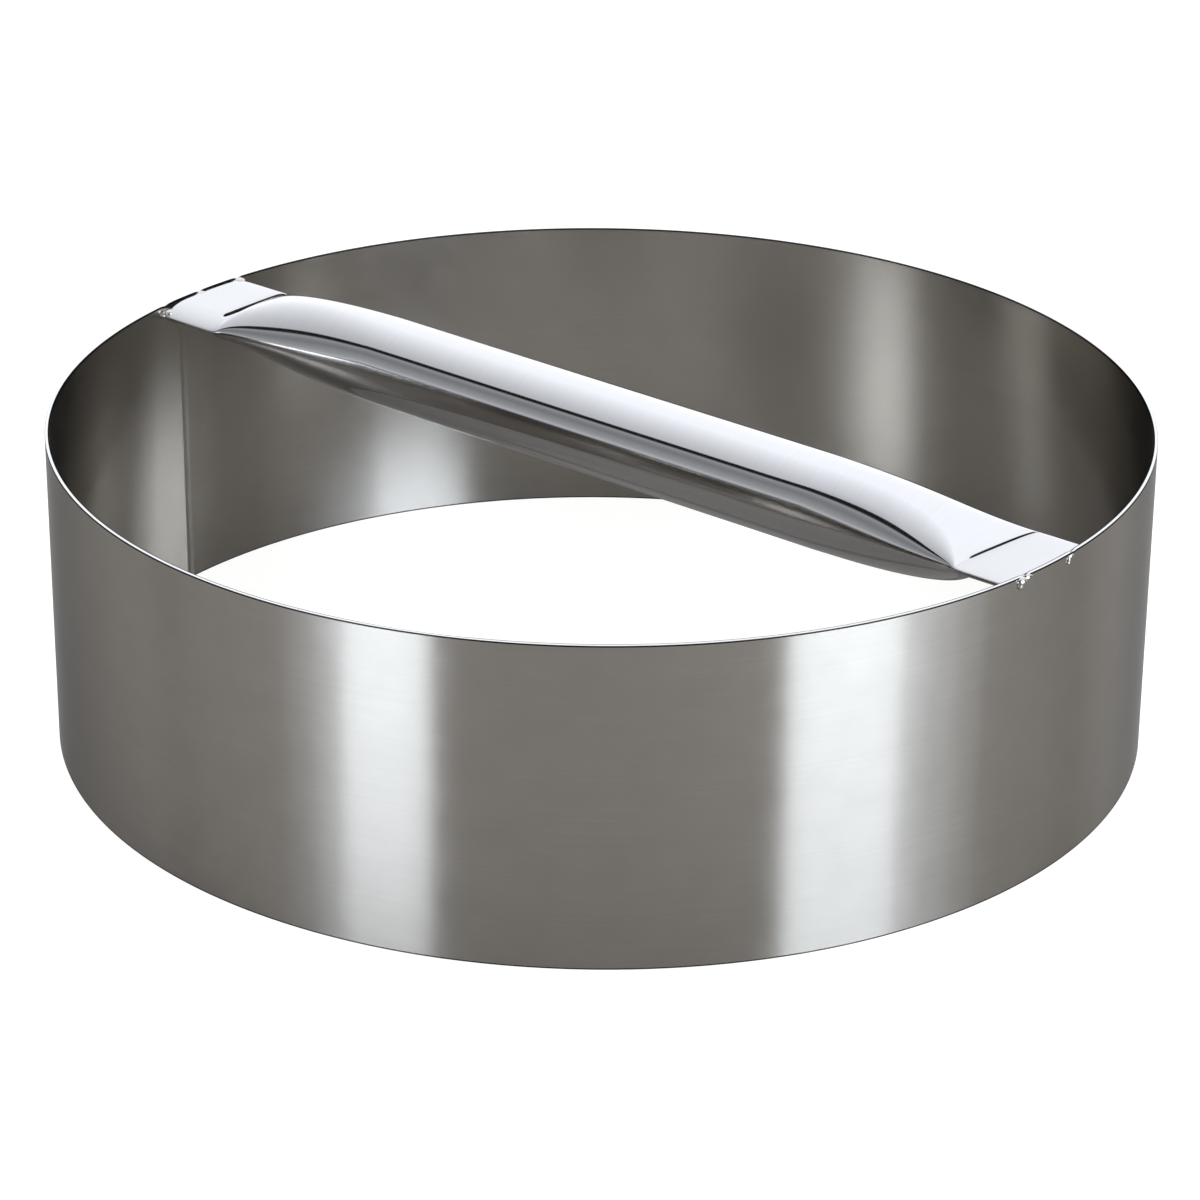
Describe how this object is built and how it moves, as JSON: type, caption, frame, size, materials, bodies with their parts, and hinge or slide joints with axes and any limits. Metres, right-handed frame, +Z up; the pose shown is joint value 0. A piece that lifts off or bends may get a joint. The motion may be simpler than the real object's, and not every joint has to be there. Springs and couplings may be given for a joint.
{
  "type": "pizza dough ring",
  "caption": "Open steel hoop for cutting rolled dough, with a tube handle that lies across its top between flattened, tack-welded ends.",
  "frame": {"origin": "middle of the ring's base, on the surface that it stands on", "axes": "+Z up along the ring's axis, X along the handle, with the end that is nearer in the picture at +X"},
  "size_m": [0.2544, 0.254, 0.0833],
  "materials": {
    "band_steel": "satin, brushed round the hoop",
    "handle_steel": "polished",
    "weld_steel": "cast weld bead"
  },
  "bodies": {
    "root": {"ring_band": "band_steel", "band_seam_weld": "band_steel", "handle_tube": "handle_steel", "left_front_tack_weld": "weld_steel", "left_middle_tack_weld": "weld_steel", "left_back_tack_weld": "weld_steel", "right_front_tack_weld": "weld_steel", "right_back_tack_weld": "weld_steel"}
  },
  "joints": []
}
